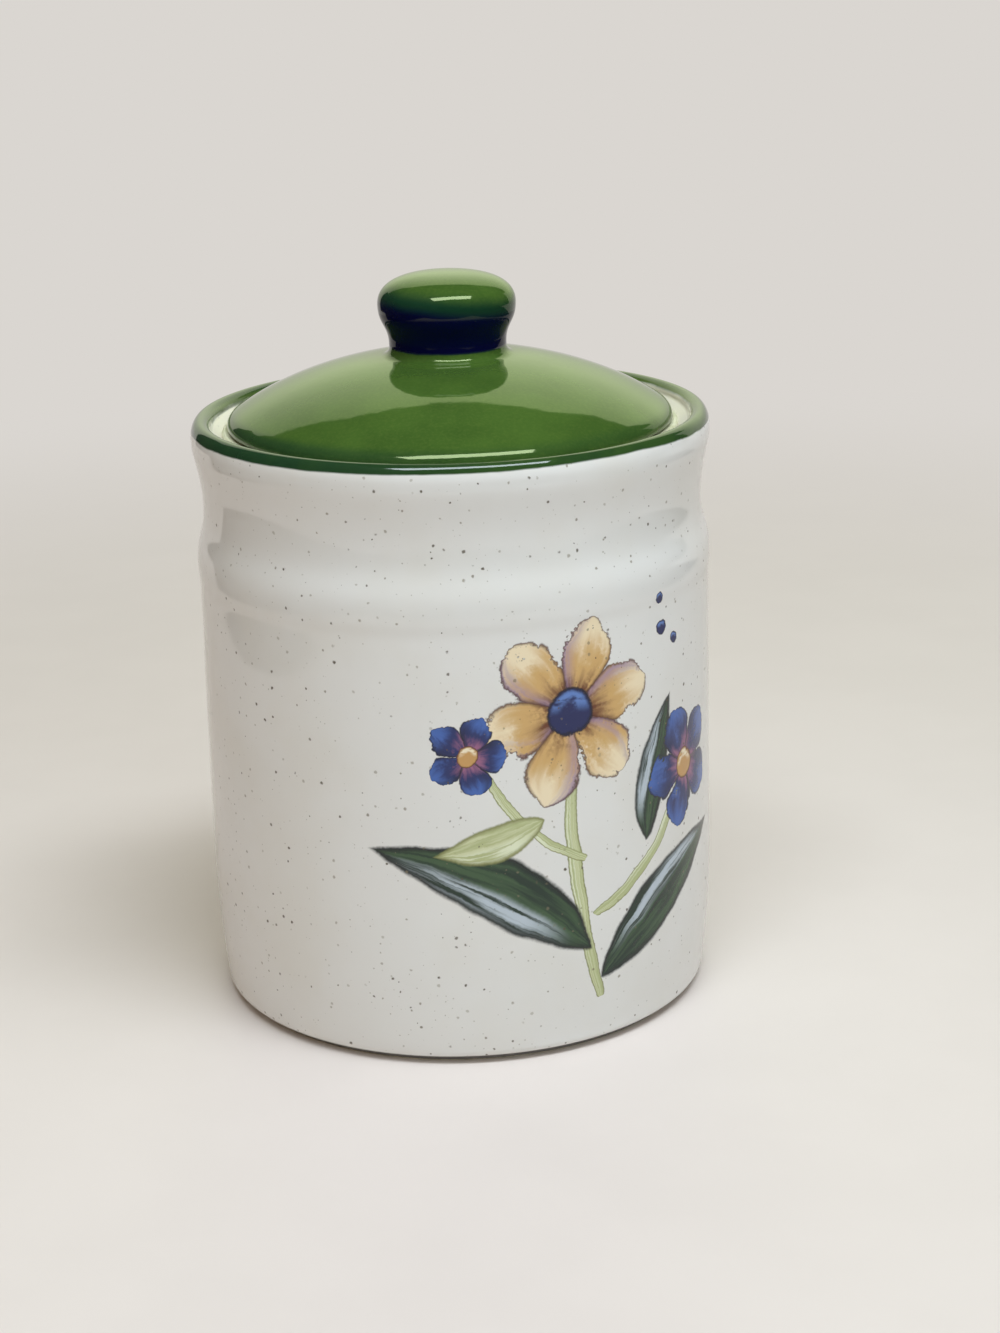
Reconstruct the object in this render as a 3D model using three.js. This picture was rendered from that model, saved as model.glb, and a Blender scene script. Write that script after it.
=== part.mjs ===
// A lidded stoneware kitchen canister: a turned jar, a domed lid with its knob,
// and the clear seal between them. Millimetres, +Z up, with the origin on the
// table, under the middle of the jar.
import * as THREE from "three";

// Jar, outside
const jarHeight = 176; // table to the top of the lip
const rimRadius = 76; // lip at its widest
const lipThickness = 6; // the lip is a round of this width
const lipDrop = 5.5; // lip's top down to its widest place
const neckInset = 2.8; // waist under the lip, in from the lip's widest place
const neckDrop = 24.5; // lip's top down to the waist
const bodyRadius = 76; // wall where the heel starts
const wallTaper = 0.5; // how much narrower the wall is at its top
const beadSwell = 0.4; // soft bead on top of the wall
const beadHeight = 7; // wall's top up to the bead's crest
const shoulderHeight = 18; // bead's crest up to the waist
const heelRise = 46; // height where the wall starts to curve in to the foot
const heelInset = 2.2; // how far the wall curves in
const heelRound = 2.8; // round on the bottom edge

// Jar, inside and underneath
const wallThickness = 6.5;
const floorThickness = 7;
const floorRound = 9; // inside corner between wall and floor
const footSetback = 0.6; // foot ring, back from where the heel's round ends
const footHeight = 1.8;
const footWidth = 6.5;
const footRecess = 2.4; // hollow under the floor, inside the foot ring

// Mouth: a bevel inside the lip leads to a ledge, with a straight throat under it
const ledgeDrop = 5.5; // lip's top down to the ledge
const bevelWidth = 3;
const ledgeWidth = 3.6;
const throatRound = 0.8; // edge between ledge and throat
const throatDepth = 19; // straight part of the throat, under the ledge
const throatFlare = 25; // throat's foot down to the full width inside

// Seal
const clearance = 0.3; // between each piece and its seat
const sealThickness = 1.4; // sleeve round the lid's flange, and the brim on the ledge
const sealHeight = 12.8; // sleeve and brim together
const brimInset = 0.3; // brim's edge, short of the bevel
const finCount = 2;
const finLength = 2.3; // sleeve out to a fin's edge
const finRoot = 1.6; // a fin's thickness at the sleeve
const finTip = 0.7; // and at its edge
const finLift = 1; // how far the throat bends a fin's edge up

// Lid
const lidInset = 1.8; // lid's edge, short of the bevel
const lidWall = 5.5;
const lidEdgeRound = 1; // on the edge's underside
const lidEdgeInset = 1.7; // lid's edge in to where the dome starts
const lidEdgeHeight = 4.1; // lid's underside up to where the dome starts
const domeRise = 17; // from there up to the dome's middle
const domeSpan = 19.8; // how far the dome's ellipse would reach past the lid's edge
const flangeThickness = 4.5;
const flangeRound = 1.4;
const flangeFillet = 4;
const flangeBead = 0.7; // bead under the seal, which keeps it on
const flangeBeadHeight = 1.6;

// Knob, cast in one with the lid
const knobNeckRadius = 17.1;
const knobRadius = 20.1;
const knobFillet = 2.8; // between the dome and the knob's neck
const knobWaistHeight = 13.6; // dome's middle up to the knob's widest place
const knobCrownHeight = 9.2; // from there up to the knob's top
const knobCrownFlat = 16.3; // how far out the crown stays nearly flat
const wellRadius = 8; // hollow that the casting leaves inside the knob
const wellRoof = 9; // clay over the hollow

// How finely the round surfaces are cut
const turns = 60; // facets round the axis
const chordTolerance = 0.12; // largest gap between a curve and its facets
const leastStep = 0.001; // points closer than this are one point

// Levels and radii that several pieces share
const ledgeLevel = jarHeight - ledgeDrop;
const ledgeRadius = rimRadius - lipThickness - bevelWidth;
const throatRadius = ledgeRadius - ledgeWidth;
const sealLevel = ledgeLevel + clearance; // the brim lies on the ledge
const brimRadius = ledgeRadius - brimInset;
const finRadius = throatRadius - clearance;
const sleeveRadius = finRadius - finLength;
const boreRadius = sleeveRadius - sealThickness;
const lidLevel = sealLevel + sealThickness + clearance; // the lid lies on the brim
const lidRadius = ledgeRadius - lidInset;
const flangeRadius = boreRadius - clearance;
const quarter = Math.PI / 2;

const glazed = { roughness: 0.12, metalness: 0 };
const speckledGlaze = new THREE.MeshStandardMaterial({ color: 0xdedad2, ...glazed });
const greenGlaze = new THREE.MeshStandardMaterial({ color: 0x4e7430, ...glazed });
const clearSilicone = new THREE.MeshStandardMaterial({
  color: 0xd9dcc8,
  roughness: 0.35,
  metalness: 0,
});

// Angle that a curve turns through in all.
function turning(curve) {
  const samples = 24;
  let angle = 0;
  for (let i = 1; i <= samples; i++) {
    const before = curve.getTangent((i - 1) / samples);
    angle += before.angleTo(curve.getTangent(i / samples));
  }
  return angle;
}

// A path's corners, and as many points on its curves as the tolerance asks for.
function outline(path) {
  const points = [path.curves[0].getPoint(0)];
  for (const curve of path.curves) {
    const bend = curve.isLineCurve ? 0 : curve.getLength() * turning(curve);
    const steps = Math.max(1, Math.ceil(Math.sqrt(bend / (8 * chordTolerance))));
    for (const point of curve.getPoints(steps)) {
      if (point.distanceTo(points.at(-1)) > leastStep) points.push(point);
    }
  }
  return points;
}

// A piece turned about +Z from its half section, drawn as radius and level.
function turned(name, path, material) {
  const geometry = new THREE.LatheGeometry(outline(path), turns);
  geometry.rotateX(quarter);
  const mesh = new THREE.Mesh(geometry, material);
  mesh.name = name;
  return mesh;
}

// A soft S from the path's end to another radius and level, upright at both ends.
function ease(path, radius, level) {
  const start = path.currentPoint.clone();
  const middle = (start.y + level) / 2;
  path.bezierCurveTo(start.x, middle, radius, middle, radius, level);
}

// The section runs from the middle of the underside, up the outside, over the lip
// and down the inside to the middle of the floor.
function jar() {
  const heelRadius = bodyRadius - heelInset;
  const heelStart = heelRadius - heelRound;
  const footRadius = heelStart - footSetback;
  const footBore = footRadius - footWidth;
  const neckRadius = rimRadius - neckInset;
  const neckLevel = jarHeight - neckDrop;
  const beadLevel = neckLevel - shoulderHeight;
  const wallTopRadius = bodyRadius - wallTaper;
  const lipRound = lipThickness / 2;
  const lipMiddle = rimRadius - lipRound;
  const lipLevel = jarHeight - lipDrop;
  const throatEdge = throatRadius + throatRound;
  const throatFoot = ledgeLevel - throatDepth;
  const innerRadius = bodyRadius - wallThickness;
  const floorLevel = footRecess + floorThickness;

  const path = new THREE.Path();
  path.moveTo(0, footRecess);
  path.lineTo(footBore, footRecess);
  path.lineTo(footBore, 0);
  path.lineTo(footRadius, 0);
  path.lineTo(footRadius, footHeight);
  path.lineTo(heelStart, footHeight);
  path.absarc(heelStart, footHeight + heelRound, heelRound, -quarter, 0, false);
  path.quadraticCurveTo(bodyRadius, heelRise / 2, bodyRadius, heelRise);
  path.lineTo(wallTopRadius, beadLevel - beadHeight);
  ease(path, wallTopRadius + beadSwell, beadLevel);
  ease(path, neckRadius, neckLevel);
  path.quadraticCurveTo(neckRadius, (neckLevel + lipLevel) / 2, rimRadius, lipLevel);
  path.absellipse(lipMiddle, lipLevel, lipRound, lipDrop, 0, quarter, false);
  path.absarc(lipMiddle, jarHeight - lipRound, lipRound, quarter, Math.PI, false);
  path.lineTo(ledgeRadius, ledgeLevel);
  path.lineTo(throatEdge, ledgeLevel);
  path.absarc(throatEdge, ledgeLevel - throatRound, throatRound, quarter, Math.PI, false);
  path.lineTo(throatRadius, throatFoot);
  ease(path, innerRadius, throatFoot - throatFlare);
  path.lineTo(innerRadius, floorLevel + floorRound);
  path.absarc(innerRadius - floorRound, floorLevel + floorRound, floorRound, 0, -quarter, true);
  path.lineTo(0, floorLevel);
  return turned("jar", path, speckledGlaze);
}

// A sleeve that grips the lid's flange, a brim for the ledge and fins for the throat.
// Level 0 is the brim's underside.
function lidSeal() {
  const sleeveFoot = sealThickness - sealHeight;
  const finPitch = -sleeveFoot / (finCount + 1);
  const tipRise = finLift + (finRoot - finTip) / 2;
  const brimRound = sealThickness / 2;
  const brimStart = brimRadius - brimRound;

  const path = new THREE.Path();
  path.moveTo(boreRadius, sealThickness);
  path.lineTo(boreRadius, sleeveFoot);
  path.lineTo(sleeveRadius, sleeveFoot);
  for (let fin = 1; fin <= finCount; fin++) {
    const rootLevel = sleeveFoot + fin * finPitch - finRoot / 2;
    path.lineTo(sleeveRadius, rootLevel);
    path.lineTo(finRadius, rootLevel + tipRise);
    path.lineTo(finRadius, rootLevel + tipRise + finTip);
    path.lineTo(sleeveRadius, rootLevel + finRoot);
  }
  path.lineTo(sleeveRadius, 0);
  path.lineTo(brimStart, 0);
  path.absarc(brimStart, brimRound, brimRound, -quarter, 0, false);
  path.absarc(brimStart, brimRound, brimRound, 0, quarter, false);
  path.lineTo(boreRadius, sealThickness);
  return turned("lid_seal", path, clearSilicone);
}

// The section runs from the top of the knob's hollow, down the inside, round the
// flange and the edge, over the dome and up the knob. Level 0 is the edge's underside.
function lid() {
  const edgeStart = lidRadius - lidEdgeRound;
  const domeStart = lidRadius - lidEdgeInset;
  const domeTop = lidEdgeHeight + domeRise;
  const outerSpan = lidRadius + domeSpan;
  const fall = (radius, span) => Math.sqrt(1 - (radius / span) ** 2);
  const outerDepth = domeRise / (1 - fall(domeStart, outerSpan));
  const middle = domeTop - outerDepth; // level of both ellipses' middle
  const innerSpan = outerSpan - lidWall;
  const innerDepth = outerDepth - lidWall;
  const domeLevel = (radius) => middle + outerDepth * fall(radius, outerSpan);
  const ceilingLevel = (radius) => middle + innerDepth * fall(radius, innerSpan);
  const outerTurn = (radius) => Math.acos(radius / outerSpan);
  const innerTurn = (radius) => Math.acos(radius / innerSpan);

  const waistLevel = domeTop + knobWaistHeight;
  const knobTop = waistLevel + knobCrownHeight;
  const neckStart = knobNeckRadius + knobFillet;
  const neckLevel = domeLevel(knobNeckRadius);
  const wellTop = knobTop - wellRoof;
  const wellStart = wellRadius + knobFillet;
  const wellLevel = ceilingLevel(wellRadius);
  const flangeBore = flangeRadius - flangeThickness;
  const flangeStart = flangeBore - flangeFillet;
  const flangeLevel = ceilingLevel(flangeBore);
  const beadRadius = flangeRadius + flangeBead;
  const beadTop = -clearance - sealHeight - clearance; // just under the seal
  const flangeFoot = beadTop - flangeBeadHeight;
  const boreEdge = flangeBore + flangeRound;

  const path = new THREE.Path();
  path.moveTo(0, wellTop);
  path.absarc(0, wellTop - wellRadius, wellRadius, quarter, 0, true);
  path.lineTo(wellRadius, wellLevel + knobFillet);
  path.quadraticCurveTo(wellRadius, wellLevel, wellStart, ceilingLevel(wellStart));
  path.absellipse(0, middle, innerSpan, innerDepth, innerTurn(wellStart), innerTurn(flangeStart), true);
  path.quadraticCurveTo(flangeBore, flangeLevel, flangeBore, flangeLevel - flangeFillet);
  path.lineTo(flangeBore, flangeFoot + flangeRound);
  path.absarc(boreEdge, flangeFoot + flangeRound, flangeRound, Math.PI, 3 * quarter, false);
  path.lineTo(flangeRadius, flangeFoot);
  path.quadraticCurveTo(beadRadius, flangeFoot, beadRadius, flangeFoot + flangeBeadHeight / 2);
  path.lineTo(beadRadius, beadTop);
  path.lineTo(flangeRadius, beadTop);
  path.lineTo(flangeRadius, 0);
  path.lineTo(edgeStart, 0);
  path.absarc(edgeStart, lidEdgeRound, lidEdgeRound, -quarter, 0, false);
  path.quadraticCurveTo(lidRadius, (lidEdgeRound + lidEdgeHeight) / 2, domeStart, lidEdgeHeight);
  path.absellipse(0, middle, outerSpan, outerDepth, outerTurn(domeStart), outerTurn(neckStart), false);
  path.quadraticCurveTo(knobNeckRadius, neckLevel, knobNeckRadius, neckLevel + knobFillet);
  ease(path, knobRadius, waistLevel);
  path.bezierCurveTo(knobRadius, (waistLevel + knobTop) / 2, knobCrownFlat, knobTop, 0, knobTop);
  return turned("lid", path, greenGlaze);
}

// The seal and the lid stand on the jar's ledge, one on the other, and lift off together.
const canister = new THREE.Group();
canister.add(jar());

const stopper = new THREE.Group();
stopper.position.z = sealLevel;
stopper.add(lidSeal());
const cover = lid();
cover.position.z = lidLevel - sealLevel;
stopper.add(cover);
canister.add(stopper);

export default canister;
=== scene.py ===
import math

import bmesh
import bpy
from mathutils import Matrix, Vector
from mathutils.geometry import interpolate_bezier


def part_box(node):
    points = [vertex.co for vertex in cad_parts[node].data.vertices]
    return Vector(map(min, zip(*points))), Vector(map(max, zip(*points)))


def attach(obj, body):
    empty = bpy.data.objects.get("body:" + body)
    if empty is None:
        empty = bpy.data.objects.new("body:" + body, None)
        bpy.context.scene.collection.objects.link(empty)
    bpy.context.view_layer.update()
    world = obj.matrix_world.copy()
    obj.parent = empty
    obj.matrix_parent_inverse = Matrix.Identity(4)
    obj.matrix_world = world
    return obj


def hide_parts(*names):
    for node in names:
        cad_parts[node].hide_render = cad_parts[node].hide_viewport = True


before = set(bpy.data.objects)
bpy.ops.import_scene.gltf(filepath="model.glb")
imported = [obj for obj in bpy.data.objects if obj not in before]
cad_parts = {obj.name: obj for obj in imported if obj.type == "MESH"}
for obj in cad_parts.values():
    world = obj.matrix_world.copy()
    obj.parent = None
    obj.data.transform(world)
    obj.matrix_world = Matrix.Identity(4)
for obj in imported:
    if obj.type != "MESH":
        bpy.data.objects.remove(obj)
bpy.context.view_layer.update()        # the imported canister: jar, lid_seal and lid
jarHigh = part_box("jar")[1]
sealLow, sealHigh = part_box("lid_seal")
lidLow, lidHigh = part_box("lid")

mm = 0.001
quarter = math.pi / 2
weldGap = 0.001 * mm
creaseAngle = math.radians(50)    # sharper edges stay sharp
print("frame loaded:", sorted(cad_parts))

# camera, where the photograph was taken from
cameraSizes = {
    "place": (0.0, -0.7502, 0.3304),
    "lookDown": 0.3025,
    "lookRight": 0.0171,
    "roll": -0.0248,
    "focalPixels": 2600,
    "framePixels": 1333,    # the photograph's long side
    "sensor": 36.0,
    "clip": (0.01, 100),
}


def addCamera(sizes):
    turn = Matrix.Rotation(-sizes["lookRight"], 3, "Z")
    turn = turn @ Matrix.Rotation(quarter - sizes["lookDown"], 3, "X")
    turn = turn @ Matrix.Rotation(sizes["roll"], 3, "Z")
    bpy.ops.object.camera_add(location=sizes["place"], rotation=turn.to_euler())
    camera = bpy.context.object
    camera.name = "photoCamera"
    camera.data.sensor_width = sizes["sensor"]
    camera.data.lens = sizes["sensor"] * sizes["focalPixels"] / sizes["framePixels"]
    camera.data.clip_start, camera.data.clip_end = sizes["clip"]
    bpy.context.scene.camera = camera


addCamera(cameraSizes)
print("camera placed")


# half sections: lists of (radius, level), drawn from point to point
def lineTo(section, radius, level, steps=1):
    start, end = section[-1], Vector((radius, level))
    for step in range(1, steps + 1):
        section.append(start.lerp(end, step / steps))


def curveTo(section, handles, end, steps):
    points = [Vector(point) for point in (*handles, end)]
    section.extend(interpolate_bezier(section[-1], *points, steps + 1)[1:])


def bendTo(section, corner, end, steps):    # soft corner, pulled towards a point
    pull = Vector(corner)
    curveTo(section, (section[-1].lerp(pull, 2 / 3), Vector(end).lerp(pull, 2 / 3)), end, steps)


def easeTo(section, radius, level, steps):    # soft S, upright at both ends
    middle = (section[-1].y + level) / 2
    curveTo(section, ((section[-1].x, middle), (radius, middle)), (radius, level), steps)


def roundTo(section, middle, reach, turns, steps):    # part of a circle or ellipse
    for step in range(1, steps + 1):
        turn = turns[0] + (turns[1] - turns[0]) * step / steps
        out = Vector((reach[0] * math.cos(turn), reach[1] * math.sin(turn)))
        section.append(Vector(middle) + out)


def addPlane(name, size, place=(0, 0, 0)):
    bpy.ops.object.select_all(action="DESELECT")
    bpy.ops.mesh.primitive_plane_add(size=size, location=place)
    plane = bpy.context.object
    plane.name = name
    return plane


# draw the half section vertex by vertex, then spin it round the axis
def turnPiece(name, section, steps):
    piece = addPlane(name, mm, (section[0].x, 0, section[0].y))
    piece.data.name = name
    bpy.ops.object.transform_apply(location=True, rotation=True, scale=True)
    bpy.ops.object.mode_set(mode="EDIT")
    bpy.ops.mesh.select_mode(type="VERT")
    bpy.ops.mesh.select_all(action="SELECT")
    bpy.ops.mesh.merge(type="CENTER")
    for before, after in zip(section, section[1:]):
        move = after - before
        bpy.ops.mesh.extrude_region_move(TRANSFORM_OT_translate={"value": (move.x, 0, move.y)})
    bpy.ops.mesh.select_all(action="SELECT")
    bpy.ops.mesh.remove_doubles(threshold=weldGap)
    bpy.ops.mesh.select_all(action="SELECT")
    bpy.ops.mesh.spin(steps=steps, angle=2 * math.pi, center=(0, 0, 0), axis=(0, 0, 1))
    bpy.ops.mesh.select_all(action="SELECT")
    bpy.ops.mesh.remove_doubles(threshold=weldGap)
    bpy.ops.mesh.select_all(action="SELECT")
    bpy.ops.mesh.normals_make_consistent(inside=False)
    bpy.ops.object.mode_set(mode="OBJECT")
    return piece


def giveFinish(piece, material, test=None):    # on the faces whose (radius, level) passes the test
    piece.data.materials.append(material)
    if test is None:
        return
    bpy.context.view_layer.objects.active = piece
    bpy.ops.object.mode_set(mode="EDIT")
    bpy.ops.mesh.select_mode(type="FACE")
    bpy.ops.mesh.select_all(action="DESELECT")
    faces = bmesh.from_edit_mesh(piece.data).faces
    for face in faces:
        middle = face.calc_center_median()
        face.select_set(test(Vector((middle.xy.length, middle.z))))
    bmesh.update_edit_mesh(piece.data)
    piece.active_material_index = len(piece.data.materials) - 1
    bpy.ops.object.material_slot_assign()
    bpy.ops.object.mode_set(mode="OBJECT")


# fired clay is never quite true: a slow, shallow unevenness on the faces that show
def unevenSkin(piece, size, depth, shown):
    group = piece.vertex_groups.new(name="shown")
    for vertex in piece.data.vertices:
        share = shown(Vector((vertex.co.xy.length, vertex.co.z)))
        if share > 0:
            group.add([vertex.index], share, "REPLACE")
    clouds = bpy.data.textures.new(piece.name + "Unevenness", "CLOUDS")
    clouds.noise_scale = size
    clouds.noise_depth = 1
    skin = piece.modifiers.new("unevenSkin", "DISPLACE")
    skin.texture = clouds
    skin.texture_coords = "LOCAL"
    skin.strength = 2 * depth
    skin.mid_level = 0.5
    skin.vertex_group = group.name
    bpy.context.view_layer.objects.active = piece
    bpy.ops.object.modifier_apply(modifier=skin.name)


def smoothPiece(piece):
    bpy.ops.object.select_all(action="DESELECT")
    piece.select_set(True)
    bpy.context.view_layer.objects.active = piece
    bpy.ops.object.shade_smooth_by_angle(angle=creaseAngle)


# small helpers for the node trees
def tint(red, green, blue):    # a colour as it is read off a screen, 0 to 255
    def plain(value):
        value = value / 255
        return value / 12.92 if value <= 0.04045 else ((value + 0.055) / 1.055) ** 2.4
    return (plain(red), plain(green), plain(blue), 1.0)


def addNode(tree, kind, **settings):
    made = tree.nodes.new(kind)
    for name, value in settings.items():
        setattr(made, name, value)
    return made


def feed(tree, socket, value):
    if isinstance(value, bpy.types.NodeSocket):
        tree.links.new(value, socket)
    else:
        socket.default_value = value


def work(tree, operation, *values):    # one Math node
    made = addNode(tree, "ShaderNodeMath", operation=operation)
    for socket, value in zip(made.inputs, values):
        feed(tree, socket, value)
    return made.outputs[0]


def times(tree, *values):
    total = values[0]
    for value in values[1:]:
        total = work(tree, "MULTIPLY", total, value)
    return total


def fade(tree, value, start, end):    # 0 at start, 1 at end, soft between
    made = addNode(tree, "ShaderNodeMapRange", interpolation_type="SMOOTHSTEP")
    feed(tree, made.inputs["Value"], value)
    made.inputs["From Min"].default_value = start
    made.inputs["From Max"].default_value = end
    return made.outputs["Result"]


def lay(tree, share, under, over):    # one colour over another
    made = addNode(tree, "ShaderNodeMix", data_type="RGBA")
    feed(tree, made.inputs[0], share)
    feed(tree, made.inputs[6], under)
    feed(tree, made.inputs[7], over)
    return made.outputs[2]


def join(tree, x, y, z):
    made = addNode(tree, "ShaderNodeCombineXYZ")
    for socket, value in zip(made.inputs, (x, y, z)):
        feed(tree, socket, value)
    return made.outputs[0]


def split(tree, vector):
    made = addNode(tree, "ShaderNodeSeparateXYZ")
    feed(tree, made.inputs[0], vector)
    return made.outputs


def length(tree, vector):
    made = addNode(tree, "ShaderNodeVectorMath", operation="LENGTH")
    feed(tree, made.inputs[0], vector)
    return made.outputs["Value"]


def cloud(tree, place, size, detail=2.0):    # noise with lumps of about this size
    made = addNode(tree, "ShaderNodeTexNoise")
    feed(tree, made.inputs["Vector"], place)
    made.inputs["Scale"].default_value = 1 / size
    made.inputs["Detail"].default_value = detail
    return made.outputs["Fac"]


def shift(tree, place, by, amount, size):    # push a place about by noise
    made = addNode(tree, "ShaderNodeTexNoise")
    feed(tree, made.inputs["Vector"], by)
    made.inputs["Scale"].default_value = 1 / size
    made.inputs["Detail"].default_value = 1.0
    centred = addNode(tree, "ShaderNodeVectorMath", operation="SUBTRACT")
    feed(tree, centred.inputs[0], made.outputs["Color"])
    centred.inputs[1].default_value = (0.5, 0.5, 0.5)
    push = addNode(tree, "ShaderNodeVectorMath", operation="MULTIPLY_ADD")
    feed(tree, push.inputs[0], centred.outputs[0])
    push.inputs[1].default_value = (amount, amount, amount)
    feed(tree, push.inputs[2], place)
    return push.outputs[0]


def startMaterial(name):
    material = bpy.data.materials.new(name)
    material.use_nodes = True
    tree = material.node_tree
    tree.nodes.clear()
    shader = addNode(tree, "ShaderNodeBsdfPrincipled")
    outlet = addNode(tree, "ShaderNodeOutputMaterial")
    tree.links.new(shader.outputs[0], outlet.inputs["Surface"])
    coordinates = addNode(tree, "ShaderNodeTexCoord")
    scaled = addNode(tree, "ShaderNodeVectorMath", operation="SCALE")
    tree.links.new(coordinates.outputs["Object"], scaled.inputs[0])
    scaled.inputs["Scale"].default_value = 1 / mm
    return material, tree, shader, scaled.outputs[0]    # the place is in millimetres


def startGroup(name, inlets, outlets):
    group = bpy.data.node_groups.new(name, "ShaderNodeTree")
    for label, kind in inlets.items():
        group.interface.new_socket(label, in_out="INPUT", socket_type="NodeSocket" + kind)
    for label, kind in outlets.items():
        group.interface.new_socket(label, in_out="OUTPUT", socket_type="NodeSocket" + kind)
    inlet = addNode(group, "NodeGroupInput")
    outlet = addNode(group, "NodeGroupOutput")
    return group, inlet.outputs, outlet.inputs


def roughen(tree, shader, heights, depth):    # bump from several heights; the depth is in metres
    height = heights[0]
    for more in heights[1:]:
        height = work(tree, "ADD", height, more)
    bump = addNode(tree, "ShaderNodeBump")
    bump.inputs["Strength"].default_value = 1.0
    bump.inputs["Distance"].default_value = depth
    tree.links.new(height, bump.inputs["Height"])
    tree.links.new(bump.outputs[0], shader.inputs["Normal"])


# iron specks in the glaze: bits of clay that lie in the surface here and there
speckSizes = {
    "large": {"spacing": 2.6, "radius": 0.68, "least": 0.22, "ragged": 0.55},
    "small": {"spacing": 2.3, "radius": 0.32, "least": 0.35, "ragged": 0.30},
}
speckBites = 0.9    # size of the bites out of a speck's edge


def specks(tree, place, size):
    ragged = shift(tree, place, place, size["ragged"], speckBites)
    cells = addNode(tree, "ShaderNodeTexVoronoi")
    feed(tree, cells.inputs["Vector"], ragged)
    cells.inputs["Scale"].default_value = 1 / size["spacing"]
    chance = split(tree, cells.outputs["Color"])
    rare = times(tree, chance[0], chance[0])
    grown = work(tree, "MULTIPLY_ADD", rare, 1 - size["least"], size["least"])
    reach = times(tree, grown, size["radius"] / size["spacing"])
    inside = work(tree, "DIVIDE", cells.outputs["Distance"], reach)
    return fade(tree, inside, 1.0, 0.45), chance[1]


# painted sprays: a stroke's own place runs from its root or middle to 1 at its end or edge
petalSeedStep = 3.7    # keeps the petals' streaks apart


def makeLeafStroke():
    group, inlet, outlet = startGroup(
        "leafStroke",
        {"Ground": "Color", "Place": "Vector", "Bend": "Float", "Belly": "Float", "Seed": "Float",
         "Deep": "Color", "Body": "Color", "Light": "Color", "Line": "Color"},
        {"Painted": "Color"},
    )
    along, side, _ = split(group, inlet["Place"])
    inside = work(group, "MINIMUM", work(group, "MAXIMUM", along, 0.0), 1.0)
    arch = times(group, inside, work(group, "SUBTRACT", 1.0, inside), 4.0)
    bowed = work(group, "SUBTRACT", side, times(group, arch, inlet["Bend"]))
    swell = work(group, "SINE", times(group, work(group, "POWER", inside, 0.8), math.pi))
    belly = work(group, "POWER", work(group, "MAXIMUM", swell, 0.0), inlet["Belly"])
    depth = work(group, "SUBTRACT", belly, work(group, "ABSOLUTE", bowed))
    across = work(group, "DIVIDE", bowed, work(group, "MAXIMUM", belly, 0.08))
    # bristle streaks along the leaf, light on one half and a thin dark edge
    bristles = join(group, times(group, along, 2.4), times(group, across, 5.0), inlet["Seed"])
    streak = cloud(group, bristles, 1.0, 3.0)
    body = lay(group, fade(group, streak, 0.36, 0.66), inlet["Deep"], inlet["Body"])
    ends = times(group, fade(group, along, 0.08, 0.34), fade(group, along, 0.96, 0.70))
    upper = times(group, fade(group, across, 0.02, 0.30), fade(group, across, 0.98, 0.62))
    shine = times(group, ends, upper, fade(group, streak, 0.34, 0.56))
    body = lay(group, shine, body, inlet["Light"])
    edge = times(group, fade(group, depth, 0.36, 0.08), fade(group, streak, 0.20, 0.42))
    body = lay(group, edge, body, inlet["Line"])
    painted = lay(group, fade(group, depth, 0.0, 0.14), inlet["Ground"], body)
    feed(group, outlet["Painted"], painted)
    return group


def makePetalStroke():
    group, inlet, outlet = startGroup(
        "petalStroke",
        {"Ground": "Color", "Place": "Vector", "Petals": "Float", "Width": "Float", "Seed": "Float",
         "Heart": "Color", "Body": "Color", "Tip": "Color", "Shade": "Color", "Line": "Color"},
        {"Painted": "Color"},
    )
    x, y, _ = split(group, inlet["Place"])
    reach = length(group, inlet["Place"])
    turn = times(group, work(group, "ARCTAN2", y, x), inlet["Petals"], 0.5 / math.pi)
    number = work(group, "ROUND", turn)
    off = times(group, work(group, "SUBTRACT", turn, number), 2 * math.pi)
    off = work(group, "DIVIDE", off, inlet["Petals"])
    along = times(group, reach, work(group, "COSINE", off))
    side = times(group, reach, work(group, "SINE", off))
    inside = work(group, "MINIMUM", work(group, "MAXIMUM", along, 0.0), 1.0)
    swell = work(group, "SINE", times(group, work(group, "POWER", inside, 1.5), math.pi))
    belly = times(group, work(group, "POWER", work(group, "MAXIMUM", swell, 0.0), 0.7), inlet["Width"])
    depth = work(group, "SUBTRACT", belly, work(group, "ABSOLUTE", side))
    across = work(group, "DIVIDE", side, work(group, "MAXIMUM", belly, 0.04))
    petal = work(group, "FLOORED_MODULO", number, inlet["Petals"])
    seed = work(group, "MULTIPLY_ADD", petal, petalSeedStep, inlet["Seed"])
    # bristle streaks, three tones from the heart out, one shaded side and a thin dark edge
    bristles = join(group, times(group, along, 1.8), times(group, across, 3.2), seed)
    streak = cloud(group, bristles, 1.0, 3.0)
    rough = work(group, "MULTIPLY_ADD", work(group, "SUBTRACT", streak, 0.5), 0.5, along)
    body = lay(group, fade(group, rough, 0.18, 0.52), inlet["Heart"], inlet["Body"])
    body = lay(group, fade(group, rough, 0.52, 0.90), body, inlet["Tip"])
    shaded = times(group, fade(group, across, 0.15, 0.85), fade(group, streak, 0.30, 0.60), 0.8)
    body = lay(group, shaded, body, inlet["Shade"])
    edge = times(group, fade(group, depth, 0.075, 0.012), fade(group, streak, 0.18, 0.40))
    body = lay(group, edge, body, inlet["Line"])
    painted = lay(group, fade(group, depth, 0.0, 0.03), inlet["Ground"], body)
    feed(group, outlet["Painted"], painted)
    return group


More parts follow.
